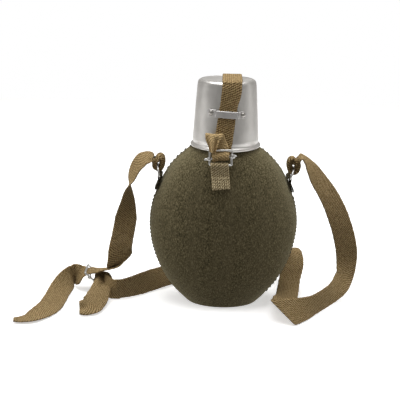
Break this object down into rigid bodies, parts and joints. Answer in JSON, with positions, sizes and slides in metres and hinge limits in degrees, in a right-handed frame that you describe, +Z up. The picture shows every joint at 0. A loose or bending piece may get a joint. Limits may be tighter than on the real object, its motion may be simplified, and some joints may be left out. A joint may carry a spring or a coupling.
{
  "type": "canteen",
  "caption": "Felt-covered oval canteen with a screw cap, a cup worn over the neck as a lid, a buckled closure strap and a shoulder strap on D-rings.",
  "frame": {"origin": "centre of the flat base of the felt cover, on the surface it stands on", "axes": "+Z up along the bottle's axis; +X to the right across the wide face; +Y from the buckled front to the back, so -Y is the front"},
  "size_m": [0.3922, 0.158, 0.2628],
  "materials": {
    "felt": "thick brushed wool felt, matte",
    "webbing": "woven cotton webbing, matte",
    "closure_webbing": "woven cotton webbing, matte",
    "dark_thread": "twisted thread",
    "pale_thread": "twisted thread",
    "aluminium": "satin, lightly scuffed",
    "steel": "dull plated wire",
    "cap_plastic": "moulded, matte",
    "seal_rubber": "matte"
  },
  "bodies": {
    "canteen": {"bottle_shell": "aluminium", "neck_collar": "aluminium", "cover_front": "felt", "cover_back": "felt", "seam_stitches_left": "dark_thread", "seam_stitches_right": "dark_thread", "closure_anchor": "closure_webbing", "anchor_stitches": "pale_thread", "buckle_tab": "webbing", "buckle_tab_stitches": "pale_thread", "ring_tab_left": "webbing", "ring_tab_right": "webbing", "ring_tab_stitches": "pale_thread", "strap_short": "webbing", "strap_long": "webbing", "strap_stitches_left": "dark_thread", "strap_stitches_right": "dark_thread", "slider_frame": "steel"},
    "cap_seal": {"cap_seal": "seal_rubber"},
    "cap": {"screw_cap": "cap_plastic"},
    "cup": {"cup_shell": "aluminium", "cup_bracket": "steel", "cup_rivets": "steel", "closure_strap": "closure_webbing"},
    "closure_buckle": {"buckle_frame": "steel"},
    "closure_bar": {"buckle_bar": "steel"},
    "left_ring": {"ring_left": "steel"},
    "right_ring": {"ring_right": "steel"},
    "slider_bar": {"slider_bar": "steel"}
  },
  "joints": [
    {"name": "cup_swing", "type": "hinge", "parent": "canteen", "child": "cup", "pos_m": [0, 0.0425, 0.181], "axis": [-1, 0, 0], "range_deg": [0, 150], "deforming": ["closure_strap"]},
    {"name": "cap_lift", "type": "slide", "parent": "canteen", "child": "cap_seal", "axis": [0, 0, 1], "range_m": [0, 0.012]},
    {"name": "cap_turn", "type": "hinge", "parent": "cap_seal", "child": "cap", "pos_m": [0, 0, 0.21], "axis": [0, 0, 1], "range_deg": [0, 1080]},
    {"name": "closure_buckle_swing", "type": "hinge", "parent": "canteen", "child": "closure_buckle", "pos_m": [-0.0059, -0.048, 0.173], "axis": [1, 0, 0], "range_deg": [0, 95], "deforming": ["closure_strap"]},
    {"name": "closure_bar_slide", "type": "slide", "parent": "closure_buckle", "child": "closure_bar", "axis": [0, 0.1455, 0.9894], "range_m": [-0.001, 0.0025], "deforming": ["closure_strap"]},
    {"name": "ring_left_swing", "type": "hinge", "parent": "canteen", "child": "left_ring", "pos_m": [-0.0735, 0, 0.1495], "axis": [0, 1, 0], "range_deg": [-35, 25], "deforming": ["strap_short"]},
    {"name": "ring_right_swing", "type": "hinge", "parent": "canteen", "child": "right_ring", "pos_m": [0.0735, 0, 0.1495], "axis": [0, -1, 0], "range_deg": [-35, 35], "deforming": ["strap_long"]},
    {"name": "slider_bar_slide", "type": "slide", "parent": "canteen", "child": "slider_bar", "axis": [0.7314, 0, -0.682], "range_m": [-0.002, 0.002], "deforming": ["strap_short", "strap_long"]}
  ],
  "couplings": [
    {"joint": "cap_lift", "follows": "cap_turn", "m_per_rad": 0.00063662}
  ]
}
